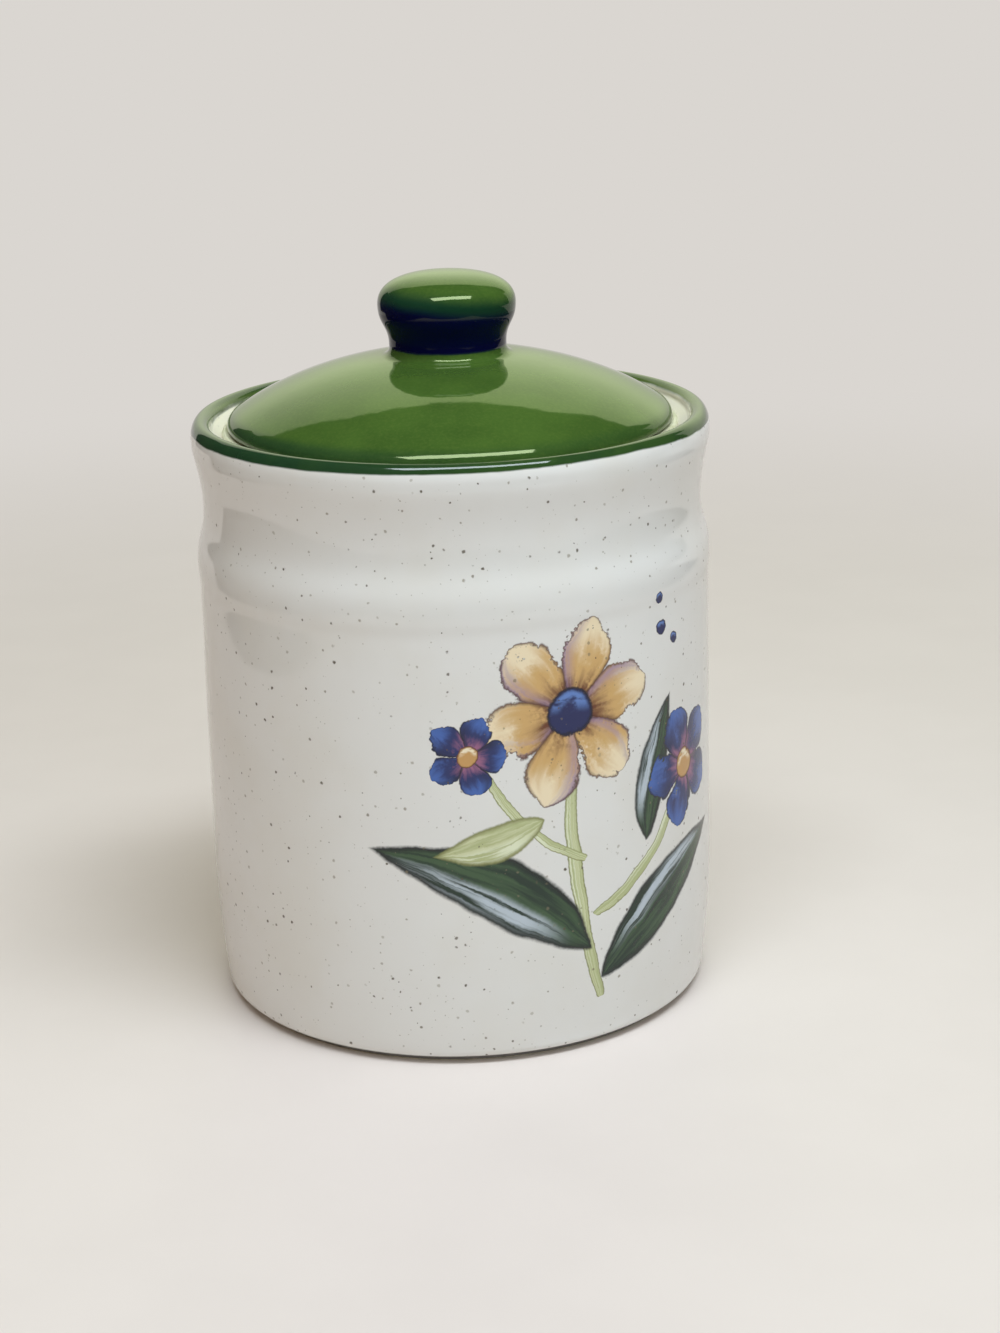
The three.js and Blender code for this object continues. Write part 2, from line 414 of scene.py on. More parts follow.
def makeDabStroke():
    group, inlet, outlet = startGroup(
        "dabStroke",
        {"Ground": "Color", "Place": "Vector", "Seed": "Float",
         "Deep": "Color", "Light": "Color", "Line": "Color"},
        {"Painted": "Color"},
    )
    x, y, _ = split(group, inlet["Place"])
    reach = length(group, inlet["Place"])
    # a crescent of light near the top and a dark edge
    streak = cloud(group, join(group, x, times(group, y, 2.5), inlet["Seed"]), 0.8, 3.0)
    crescent = times(group, fade(group, reach, 0.40, 0.62), fade(group, reach, 0.92, 0.74))
    crescent = times(group, crescent, fade(group, y, -0.1, 0.45), fade(group, streak, 0.30, 0.50))
    body = lay(group, crescent, inlet["Deep"], inlet["Light"])
    body = lay(group, fade(group, reach, 0.80, 0.98), body, inlet["Line"])
    painted = lay(group, fade(group, reach, 1.04, 0.94), inlet["Ground"], body)
    feed(group, outlet["Painted"], painted)
    return group


sprayPaints = {
    "green": {"Deep": tint(30, 50, 38), "Body": tint(62, 88, 58),
              "Light": tint(186, 196, 205), "Line": tint(22, 28, 28)},
    "olive": {"Deep": tint(176, 182, 132), "Body": tint(205, 208, 166),
              "Light": tint(222, 226, 196), "Line": tint(128, 130, 78)},
    "tan": {"Heart": tint(104, 58, 34), "Body": tint(206, 166, 106), "Tip": tint(238, 220, 186),
            "Shade": tint(150, 126, 158), "Line": tint(72, 34, 28)},
    "navy": {"Heart": tint(150, 96, 128), "Body": tint(34, 46, 98), "Tip": tint(66, 100, 172),
             "Shade": tint(24, 28, 58), "Line": tint(14, 14, 34)},
    "navyHeart": {"Deep": tint(28, 36, 84), "Light": tint(96, 128, 190), "Line": tint(16, 14, 34)},
    "tanHeart": {"Deep": tint(198, 152, 92), "Light": tint(240, 226, 196), "Line": tint(90, 46, 32)},
}
spraySizes = {            # in millimetres along the wall and up it, and degrees
    "copies": 2,          # front and back
    "turn": 24,           # to the right of the front
    "level": 82,
    "wallRadius": jarHigh.x / mm,
    "wander": 2.2,        # unsteady hand
    "wanderSize": 11,
    "fray": 0.5,          # bristle edge
    "fraySize": 1.1,
    "leafBelly": 0.85,    # pointed where high, even where low
    "stemBelly": 0.16,
    "seedStep": 5.3,      # keeps the strokes' streaks apart
    "stems": [
        {"root": (9, -66), "turn": 96, "long": 84, "wide": 2.3, "bend": 1.6, "paint": "olive"},
        {"root": (7, -40), "turn": 44, "long": 52, "wide": 1.9, "bend": -2.6, "paint": "olive"},
        {"root": (4, -22), "turn": 134, "long": 44, "wide": 1.6, "bend": 2.6, "paint": "olive"},
    ],
    "leaves": [
        {"root": (6, -50), "turn": 152, "long": 74, "wide": 10.5, "bend": -0.62, "paint": "green"},
        {"root": (9, -60), "turn": 30, "long": 66, "wide": 9.5, "bend": 0.5, "paint": "green"},
        {"root": (26, -22), "turn": 74, "long": 44, "wide": 7.0, "bend": 0.35, "paint": "green"},
        {"root": (-8, -8), "turn": 196, "long": 34, "wide": 6.0, "bend": 0.3, "paint": "olive"},
    ],
    "blooms": [
        {"middle": (0, 22), "turn": 12, "reach": 28, "petals": 6, "wide": 0.33, "paint": "tan"},
        {"middle": (46, -4), "turn": 40, "reach": 19, "petals": 5, "wide": 0.40, "paint": "navy"},
        {"middle": (-30, 12), "turn": 70, "reach": 12, "petals": 5, "wide": 0.40, "paint": "navy"},
    ],
    "dabs": [
        {"middle": (0, 22), "reach": 7.4, "paint": "navyHeart"},
        {"middle": (46, -4), "reach": 4.8, "paint": "tanHeart"},
        {"middle": (-30, 12), "reach": 3.0, "paint": "tanHeart"},
        {"middle": (34, 40), "reach": 2.6, "paint": "navyHeart"},
        {"middle": (41, 35), "reach": 2.0, "paint": "navyHeart"},
        {"middle": (33, 49), "reach": 1.6, "paint": "navyHeart"},
    ],
}


def stroke(tree, group, ground, place, stretch, values):
    mapping = addNode(tree, "ShaderNodeMapping", vector_type="TEXTURE")
    feed(tree, mapping.inputs["Vector"], place)
    mapping.inputs["Location"].default_value = (*stretch["at"], 0)
    mapping.inputs["Rotation"].default_value = (0, 0, math.radians(stretch["turn"]))
    mapping.inputs["Scale"].default_value = (*stretch["by"], 1)
    made = addNode(tree, "ShaderNodeGroup", node_tree=group)
    feed(tree, made.inputs["Ground"], ground)
    feed(tree, made.inputs["Place"], mapping.outputs[0])
    for label, value in values.items():
        made.inputs[label].default_value = value
    return made.outputs["Painted"]


def paintSprays(tree, place, ground, sizes):
    leafStroke, petalStroke, dabStroke = makeLeafStroke(), makePetalStroke(), makeDabStroke()
    x, y, height = split(tree, place)
    turn = work(tree, "ARCTAN2", x, times(tree, y, -1.0))
    half = math.pi / sizes["copies"]
    turn = work(tree, "SUBTRACT", turn, math.radians(sizes["turn"]))
    turn = work(tree, "WRAP", turn, half, -half)
    flat = join(tree, times(tree, turn, sizes["wallRadius"]),
                work(tree, "SUBTRACT", height, sizes["level"]), 0.0)
    flat = shift(tree, flat, place, sizes["wander"], sizes["wanderSize"])
    flat = shift(tree, flat, place, sizes["fray"], sizes["fraySize"])
    seed = 0
    for one in sizes["stems"] + sizes["leaves"]:
        seed += 1
        values = {"Bend": one["bend"], "Seed": sizes["seedStep"] * seed, **sprayPaints[one["paint"]]}
        values["Belly"] = sizes["leafBelly"] if one in sizes["leaves"] else sizes["stemBelly"]
        stretch = {"at": one["root"], "turn": one["turn"], "by": (one["long"], one["wide"])}
        ground = stroke(tree, leafStroke, ground, flat, stretch, values)
    for one in sizes["blooms"]:
        seed += 1
        values = {"Petals": one["petals"], "Width": one["wide"], "Seed": sizes["seedStep"] * seed}
        values.update(sprayPaints[one["paint"]])
        stretch = {"at": one["middle"], "turn": one["turn"], "by": (one["reach"], one["reach"])}
        ground = stroke(tree, petalStroke, ground, flat, stretch, values)
    for one in sizes["dabs"]:
        seed += 1
        values = {"Seed": sizes["seedStep"] * seed, **sprayPaints[one["paint"]]}
        stretch = {"at": one["middle"], "turn": 0, "by": (one["reach"], one["reach"])}
        ground = stroke(tree, dabStroke, ground, flat, stretch, values)
    return ground


# glazes, with their places in millimetres
glazeColours = {
    "white": tint(226, 224, 220),
    "whiteThin": tint(221, 217, 209),
    "cream": tint(233, 228, 206),
    "speck": tint(128, 116, 92),
    "speckDark": tint(84, 72, 56),
    "green": tint(69, 98, 39),
    "greenDeep": tint(61, 89, 35),
    # painted shade: darker green for the knob's underside, the lid's edge and the band's left side
    "greenShaded": tint(20, 54, 36),
    "greenBand": tint(42, 68, 35),
    # painted shadow: near-black navy for the knob's neck
    "greenKnobShadow": tint(3, 3, 50),
    "greenThin": tint(112, 134, 62),
    "clay": tint(206, 192, 170),
    "clayGrit": tint(150, 126, 98),
    # painted shadow: the dark line along the foot's side
    "footShadow": tint(64, 57, 50),
}
bandSizes = {
    "outerEdge": jarHigh.z / mm - 2.4,
    "innerEdge": jarHigh.x / mm - 5.8,
    "tilt": 0.010,           # dipped a little aslant
    "slip": 0.004,
    "run": 1.2,              # run down on the right
    "runSpan": (48, 74),     # from here on
    "fadeOut": 0.3,
    "unsteady": 0.6,
    "thinSpan": (1.6, 0.2),  # thin glaze along the inner edge
    "creamSpan": (150, 155),
    "faceLow": 1,            # the band's own faces start above its outer edge
    "faceBack": 0.6,         # and the cream ones inside its inner edge
}
knobTop = lidHigh.z / mm
# where painted shade darkens the lid: down the knob, on its neck and at the lid's edge
lidShadeSizes = {
    "shadeTop": knobTop - 3.4,
    "shadeFull": knobTop - 7.9,
    "shadowTop": knobTop - 7.9,
    "shadowFull": knobTop - 11.4,
    "low": knobTop - 21.9,
    "lowFade": 0.9,
    "reach": 24,
    "tilt": 0.11,            # painted shade reaches further up on the left
    "unsteady": 0.8,
    "rimShadeSpan": (lidHigh.x / mm - 4.2, lidHigh.x / mm - 0.6),
}
leftShadeSpan = (20, -60)       # painted shade: darker from the right to the left, where less light falls
footShadowSpan = (1.8, 1.2)
sealColours = tint(224, 223, 192), tint(208, 208, 170)    # clear and hazy; the olive-cream tint is partly the seal's own colour and partly a painted reflection of the green lid
ridgeSizes = {"pitch": 0.6, "depth": 0.03 * mm}    # mould marks on the seal
peelDepth = 0.05 * mm
gritDepth = 0.06 * mm


def addSpecks(tree, place, ground, share):
    large, darkness = specks(tree, place, speckSizes["large"])
    small, _ = specks(tree, place, speckSizes["small"])
    colour = lay(tree, fade(tree, darkness, 0.45, 0.85), glazeColours["speck"], glazeColours["speckDark"])
    ground = lay(tree, times(tree, small, 0.45 * share), ground, glazeColours["speck"])
    strength = work(tree, "MULTIPLY_ADD", darkness, 0.6 * share, 0.35 * share)    # some lie deeper
    ground = lay(tree, times(tree, large, strength), ground, colour)
    return ground, large


def glossFinish(tree, shader, place, roughness, spread, patch=14):
    patches = cloud(tree, place, patch)
    gloss = work(tree, "MULTIPLY_ADD", patches, spread, roughness - spread / 2)
    tree.links.new(gloss, shader.inputs["Roughness"])
    shader.inputs["IOR"].default_value = 1.52


def makeSpeckledGlaze(name, sprayed):
    material, tree, shader, place = startMaterial(name)
    x, y, height = split(tree, place)
    radius = length(tree, join(tree, x, y, 0.0))
    thin = fade(tree, cloud(tree, place, 34, 3.0), 0.42, 0.72)
    colour = lay(tree, times(tree, thin, 0.55), glazeColours["white"], glazeColours["whiteThin"])
    if sprayed:
        colour = paintSprays(tree, place, colour, spraySizes)
    else:
        shader.inputs["Specular Tint"].default_value = (1.0, 0.97, 1.0, 1.0)
    # cream inside the lip, and the green band on it
    wave = work(tree, "SUBTRACT", cloud(tree, place, 9), 0.5)
    inner = work(tree, "MULTIPLY_ADD", x, -bandSizes["slip"], radius)
    inner = work(tree, "MULTIPLY_ADD", wave, bandSizes["unsteady"], inner)
    dipped = work(tree, "MULTIPLY_ADD", x, -bandSizes["tilt"], height)
    dipped = work(tree, "MULTIPLY_ADD", fade(tree, x, *bandSizes["runSpan"]), bandSizes["run"], dipped)
    outer = work(tree, "MULTIPLY_ADD", wave, bandSizes["unsteady"], dipped)
    edge, fall = bandSizes["innerEdge"], bandSizes["fadeOut"]
    mouth = times(tree, fade(tree, inner, edge + fall, edge - fall),
                  fade(tree, height, *bandSizes["creamSpan"]))
    colour = lay(tree, mouth, colour, glazeColours["cream"])
    colour, large = addSpecks(tree, place, colour, 1.0)
    low = bandSizes["outerEdge"]
    band = times(tree, fade(tree, outer, low - fall, low + fall),
                 fade(tree, inner, edge - fall, edge + fall))
    mottle = fade(tree, cloud(tree, place, 9, 3.0), 0.35, 0.65)
    green = lay(tree, times(tree, mottle, 0.35), glazeColours["greenBand"], glazeColours["greenDeep"])
    # painted shade: the band darker towards the left
    leftShade = times(tree, fade(tree, x, *leftShadeSpan), 0.6)
    green = lay(tree, leftShade, green, glazeColours["greenShaded"])
    thinStart, thinEnd = bandSizes["thinSpan"]
    edgeThin = fade(tree, inner, edge + thinStart, edge + thinEnd)
    green = lay(tree, times(tree, edgeThin, 0.5), green, glazeColours["greenThin"])
    colour = lay(tree, band, colour, green)
    # the glaze stops at the foot; a painted shadow darkens the foot's side
    footShade = fade(tree, work(tree, "MULTIPLY_ADD", wave, 0.3, height), *footShadowSpan)
    colour = lay(tree, times(tree, footShade, 0.85), colour, glazeColours["footShadow"])
    tree.links.new(colour, shader.inputs["Base Color"])
    glossFinish(tree, shader, place, roughness=0.05, spread=0.04)
    peel = times(tree, cloud(tree, place, 7), 0.9)
    fine = times(tree, cloud(tree, place, 1.6), 0.12)
    pits = times(tree, large, -0.35)
    roughen(tree, shader, [peel, fine, pits], peelDepth)
    return material


def makeCreamGlaze():
    material, tree, shader, place = startMaterial("creamGlaze")
    thin = fade(tree, cloud(tree, place, 26, 3.0), 0.40, 0.70)
    colour = lay(tree, times(tree, thin, 0.5), glazeColours["cream"], glazeColours["whiteThin"])
    colour, large = addSpecks(tree, place, colour, 0.6)
    tree.links.new(colour, shader.inputs["Base Color"])
    shader.inputs["Specular IOR Level"].default_value = 0.14
    glossFinish(tree, shader, place, roughness=0.24, spread=0.08)
    peel = times(tree, cloud(tree, place, 6), 0.9)
    pits = times(tree, large, -0.35)
    roughen(tree, shader, [peel, pits], peelDepth)
    return material


def makeGreenGlaze(name, gloss):
    material, tree, shader, place = startMaterial(name)
    x, y, height = split(tree, place)
    radius = length(tree, join(tree, x, y, 0.0))
    wave = work(tree, "SUBTRACT", cloud(tree, place, 8), 0.5)
    mottle = fade(tree, cloud(tree, place, 16, 4.0), 0.34, 0.66)
    colour = lay(tree, mottle, glazeColours["greenDeep"], glazeColours["green"])
    grain = fade(tree, cloud(tree, place, 0.9, 2.0), 0.40, 0.75)
    colour = lay(tree, times(tree, grain, 0.12), colour, glazeColours["greenThin"])
    # painted shade: the knob darker from its crown down and near-black from its widest part down the
    # neck, reaching further up on the left, and the lid's edge darker, more so on the left
    s = lidShadeSizes
    level = work(tree, "MULTIPLY_ADD", wave, s["unsteady"], height)
    neck = times(tree, fade(tree, level, s["low"], s["low"] + s["lowFade"]),
                 work(tree, "LESS_THAN", radius, s["reach"]))
    level = work(tree, "MULTIPLY_ADD", x, s["tilt"], level)
    thick = times(tree, neck, fade(tree, level, s["shadeTop"], s["shadeFull"]))
    colour = lay(tree, thick, colour, glazeColours["greenShaded"])
    knobShadow = times(tree, neck, fade(tree, level, s["shadowTop"], s["shadowFull"]), 0.97)
    colour = lay(tree, knobShadow, colour, glazeColours["greenKnobShadow"])
    # painted shade at the lid's edge, stronger on the left
    leftShade = work(tree, "MULTIPLY_ADD", fade(tree, x, *leftShadeSpan), 0.4, 0.3)
    rim = times(tree, fade(tree, radius, *s["rimShadeSpan"]), leftShade)
    colour = lay(tree, rim, colour, glazeColours["greenShaded"])
    tree.links.new(colour, shader.inputs["Base Color"])
    shader.inputs["Specular Tint"].default_value = (0.91, 1.0, 0.53, 1.0)
    shader.inputs["Specular IOR Level"].default_value = gloss
    glossFinish(tree, shader, place, roughness=0.06, spread=0.05)
    peel = cloud(tree, place, 8)
    fine = times(tree, cloud(tree, place, 1.4), 0.08)
    roughen(tree, shader, [peel, fine], peelDepth)
    return material


def makeBareClay():
    material, tree, shader, place = startMaterial("bareClay")
    grit = fade(tree, cloud(tree, place, 0.8, 4.0), 0.45, 0.70)
    colour = lay(tree, times(tree, grit, 0.5), glazeColours["clay"], glazeColours["clayGrit"])
    worn = fade(tree, cloud(tree, place, 9, 3.0), 0.45, 0.65)
    colour = lay(tree, times(tree, worn, 0.25), colour, glazeColours["speck"])
    tree.links.new(colour, shader.inputs["Base Color"])
    gloss = work(tree, "MULTIPLY_ADD", grit, 0.15, 0.72)
    tree.links.new(gloss, shader.inputs["Roughness"])
    roughen(tree, shader, [grit], gritDepth)
    return material


def makeClearSilicone():
    material, tree, shader, place = startMaterial("clearSilicone")
    haze = fade(tree, cloud(tree, place, 5, 3.0), 0.35, 0.70)
    colour = lay(tree, haze, *sealColours)
    tree.links.new(colour, shader.inputs["Base Color"])
    gloss = work(tree, "MULTIPLY_ADD", haze, 0.15, 0.30)
    tree.links.new(gloss, shader.inputs["Roughness"])
    shader.inputs["IOR"].default_value = 1.41
    shader.inputs["Specular IOR Level"].default_value = 0.2
    shader.inputs["Transmission Weight"].default_value = 0.08
    x, y, _ = split(tree, place)
    radius = length(tree, join(tree, x, y, 0.0))
    ridges = work(tree, "SINE", times(tree, radius, 2 * math.pi / ridgeSizes["pitch"]))
    roughen(tree, shader, [ridges], ridgeSizes["depth"])
    return material


speckledGlaze = makeSpeckledGlaze("speckledGlaze", sprayed=True)
bandGlaze = makeSpeckledGlaze("bandGlaze", sprayed=False)
creamGlaze = makeCreamGlaze()
greenGlaze = makeGreenGlaze("greenGlaze", gloss=0.5)
# less reflective copies, for painted shade on the knob's underside and neck
shadedGreenGlaze = makeGreenGlaze("shadedGreenGlaze", gloss=0.3)
knobShadowGlaze = makeGreenGlaze("knobShadowGlaze", gloss=0.15)
bareClay = makeBareClay()
clearSilicone = makeClearSilicone()
print("finishes mixed:", len(bpy.data.materials))

# jar
jarSizes = {
    "height": jarHigh.z,
    "rim": jarHigh.x,           # lip at its widest
    "lip": 6 * mm,
    "lipDrop": 5.5 * mm,
    "lipBelt": 1 * mm,          # upright under the lip's round
    "flarePull": 3.4 * mm,      # how far down it draws the neck's curve
    "neck": jarHigh.x - 2.6 * mm,
    "neckDrop": 25.5 * mm,
    "body": jarHigh.x,
    "wallTop": jarHigh.x - 0.5 * mm,
    "bead": jarHigh.x - 0.1 * mm,
    "beadRise": 7 * mm,
    "shoulder": 17 * mm,
    "heelRise": 46 * mm,
    "heel": jarHigh.x - 2.2 * mm,
    "heelRound": 2.8 * mm,
    "footBack": 0.6 * mm,
    "footHeight": 1.8 * mm,
    "footWidth": 6.5 * mm,
    "recess": 2.4 * mm,
    "footRound": 0.7 * mm,
    "wall": 6.5 * mm,
    "floor": 7 * mm,
    "floorRound": 9 * mm,
    "bevel": 3 * mm,
    "ledgeDrop": 5.5 * mm,
    "ledge": 3.6 * mm,
    "throatRound": 0.8 * mm,
    "throatDepth": 19 * mm,
    "throatFlare": 25 * mm,
    "steps": 180,
    "unevenSize": 55 * mm,
    "unevenDepth": 0.18 * mm,
}


def modelJar(s):
    foot = s["heel"] - s["heelRound"] - s["footBack"]
    bore = foot - s["footWidth"]
    small = s["footRound"]
    neckLevel = s["height"] - s["neckDrop"]
    beadLevel = neckLevel - s["shoulder"]
    lipMiddle = s["rim"] - s["lip"] / 2
    lipLevel = s["height"] - s["lipDrop"]
    beltLevel = lipLevel - s["lipBelt"]
    ledgeLevel = s["height"] - s["ledgeDrop"]
    ledgeRadius = s["rim"] - s["lip"] - s["bevel"]
    throat = ledgeRadius - s["ledge"]
    throatEdge = throat + s["throatRound"]
    inside = s["body"] - s["wall"]
    floorLevel = s["recess"] + s["floor"]

    section = [Vector((0, s["recess"]))]
    lineTo(section, bore - small, s["recess"], 8)
    bendTo(section, (bore, s["recess"]), (bore, s["recess"] - small), 4)
    lineTo(section, bore, small)
    bendTo(section, (bore, 0), (bore + small, 0), 4)
    lineTo(section, foot - small, 0, 2)
    bendTo(section, (foot, 0), (foot, small), 4)
    lineTo(section, foot, s["footHeight"] - s["footBack"])
    bendTo(section, (foot, s["footHeight"]), (foot + s["footBack"], s["footHeight"]), 4)
    heelMiddle = (s["heel"] - s["heelRound"], s["footHeight"] + s["heelRound"])
    roundTo(section, heelMiddle, (s["heelRound"],) * 2, (-quarter, 0), 8)
    bendTo(section, (s["body"], s["heelRise"] / 2), (s["body"], s["heelRise"]), 14)
    lineTo(section, s["wallTop"], beadLevel - s["beadRise"], 22)
    easeTo(section, s["bead"], beadLevel, 8)
    easeTo(section, s["neck"], neckLevel, 14)
    flare = (s["neck"], (neckLevel + beltLevel) / 2), (s["rim"], beltLevel - s["flarePull"])
    curveTo(section, flare, (s["rim"], beltLevel), 16)
    lineTo(section, s["rim"], lipLevel, 2)
    roundTo(section, (lipMiddle, lipLevel), (s["lip"] / 2, s["lipDrop"]), (0, quarter), 12)
    crest = (lipMiddle, s["height"] - s["lip"] / 2)
    roundTo(section, crest, (s["lip"] / 2,) * 2, (quarter, 2 * quarter), 10)
    lineTo(section, ledgeRadius + small, ledgeLevel + small * s["ledgeDrop"] / (2 * s["bevel"]), 4)
    bendTo(section, (ledgeRadius, ledgeLevel), (ledgeRadius - small, ledgeLevel), 4)
    lineTo(section, throatEdge, ledgeLevel, 2)
    throatMiddle = (throatEdge, ledgeLevel - s["throatRound"])
    roundTo(section, throatMiddle, (s["throatRound"],) * 2, (quarter, 2 * quarter), 5)
    lineTo(section, throat, ledgeLevel - s["throatDepth"], 5)
    easeTo(section, inside, ledgeLevel - s["throatDepth"] - s["throatFlare"], 12)
    lineTo(section, inside, floorLevel + s["floorRound"], 24)
    corner = (inside - s["floorRound"], floorLevel + s["floorRound"])
    roundTo(section, corner, (s["floorRound"],) * 2, (0, -quarter), 8)
    lineTo(section, 0, floorLevel, 8)

    jar = turnPiece("stonewareJar", section, s["steps"])
    low, high = s["footHeight"] + s["heelRound"], lipLevel
    unevenSkin(jar, s["unevenSize"], s["unevenDepth"],
               lambda at: float(at.x > s["neck"] - mm and low < at.y < high))
    giveFinish(jar, speckledGlaze)
    bandLow = (bandSizes["outerEdge"] + bandSizes["faceLow"]) * mm
    creamEdge = (bandSizes["innerEdge"] - bandSizes["faceBack"]) * mm
    giveFinish(jar, bandGlaze, lambda at: at.y > bandLow)
    giveFinish(jar, creamGlaze, lambda at: at.x < creamEdge and at.y > floorLevel - mm)
    giveFinish(jar, bareClay, lambda at: bore - mm < at.x < foot and at.y < mm / 3)
    smoothPiece(jar)
    return jar


stonewareJar = modelJar(jarSizes)
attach(stonewareJar, "jar")
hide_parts("jar")
print("jar turned:", len(stonewareJar.data.polygons), "faces")

# seal: sleeve round the lid's flange, brim on the ledge, two bent fins
sealSizes = {
    "brim": sealHigh.x,
    "top": sealHigh.z,
    "foot": sealLow.z,
    "thick": 1.4 * mm,
    "brimOut": 5.9 * mm,    # sleeve out to the brim's edge
    "fins": 2,
    "finLong": 2.3 * mm,
    "finRoot": 1.6 * mm,
    "finTip": 0.7 * mm,
    "finLift": 1 * mm,
    "soft": 0.25 * mm,      # rounds on the edges
    "steps": 144,
}


def modelSeal(s):
    sleeve = s["brim"] - s["brimOut"]
    bore = sleeve - s["thick"]
    under = s["top"] - s["thick"]
    fin = sleeve + s["finLong"]
    pitch = (under - s["foot"]) / (s["fins"] + 1)
    rise = s["finLift"] + (s["finRoot"] - s["finTip"]) / 2
    soft = s["soft"]

    section = [Vector((bore, s["top"] - soft))]
    lineTo(section, bore, s["foot"] + soft, 6)
    bendTo(section, (bore, s["foot"]), (bore + soft, s["foot"]), 3)
    lineTo(section, sleeve - soft, s["foot"])
    bendTo(section, (sleeve, s["foot"]), (sleeve, s["foot"] + soft), 3)
    for number in range(1, s["fins"] + 1):
        root = s["foot"] + number * pitch - s["finRoot"] / 2
        lineTo(section, sleeve, root - soft, 2)
        bendTo(section, (sleeve, root), (sleeve + soft, root + soft * rise / s["finLong"]), 3)
        lineTo(section, fin - soft, root + rise - soft * rise / s["finLong"], 2)
        tip = root + rise + s["finTip"] / 2
        bendTo(section, (fin, root + rise), (fin, tip), 3)
        bendTo(section, (fin, root + rise + s["finTip"]), (fin - soft, tip + s["finTip"] / 2), 3)
        lineTo(section, sleeve + soft, root + s["finRoot"] + soft / 4, 2)
        bendTo(section, (sleeve, root + s["finRoot"]), (sleeve, root + s["finRoot"] + soft), 3)
    lineTo(section, sleeve, under - soft, 2)
    bendTo(section, (sleeve, under), (sleeve + soft, under), 3)
    half = s["thick"] / 2
    lineTo(section, s["brim"] - half, under, 4)
    roundTo(section, (s["brim"] - half, under + half), (half, half), (-quarter, quarter), 10)
    lineTo(section, bore + soft, s["top"], 6)
    bendTo(section, (bore, s["top"]), (bore, s["top"] - soft), 3)

    seal = turnPiece("siliconeSeal", section, s["steps"])
    giveFinish(seal, clearSilicone)
    smoothPiece(seal)
    return seal


siliconeSeal = modelSeal(sealSizes)
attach(siliconeSeal, "seal")
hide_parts("lid_seal")
print("seal turned:", len(siliconeSeal.data.polygons), "faces")

# lid and knob, one casting
lidSizes = {
    "edge": lidHigh.x,
    "under": sealHigh.z + 0.3 * mm,    # the edge lies just over the seal's brim
    "foot": lidLow.z,
    "top": lidHigh.z,
    "wall": 5.5 * mm,
    "edgeRound": 1 * mm,       # on the edge's underside
    "edgeInset": 1.7 * mm,     # edge in to where the dome starts
    "edgeHeight": 4.1 * mm,
    "domeRise": 17 * mm,
    "domeSpan": 19.8 * mm,
    "flange": 59.1 * mm,
    "flangeThick": 4.5 * mm,
    "flangeRound": 1.4 * mm,
    "flangeFillet": 4 * mm,
    "flangeBead": 0.7 * mm,
    "beadHeight": 1.6 * mm,
    "neck": 17.1 * mm,
    "knob": 20.1 * mm,
    "fillet": 2.8 * mm,
    "crown": 9.2 * mm,
    "crownFlat": 16.3 * mm,
    "well": 8 * mm,
    "wellRoof": 9 * mm,
    "soft": 0.3 * mm,
    "steps": 180,
    "unevenSize": 40 * mm,
    "unevenDepth": 0.12 * mm,
}


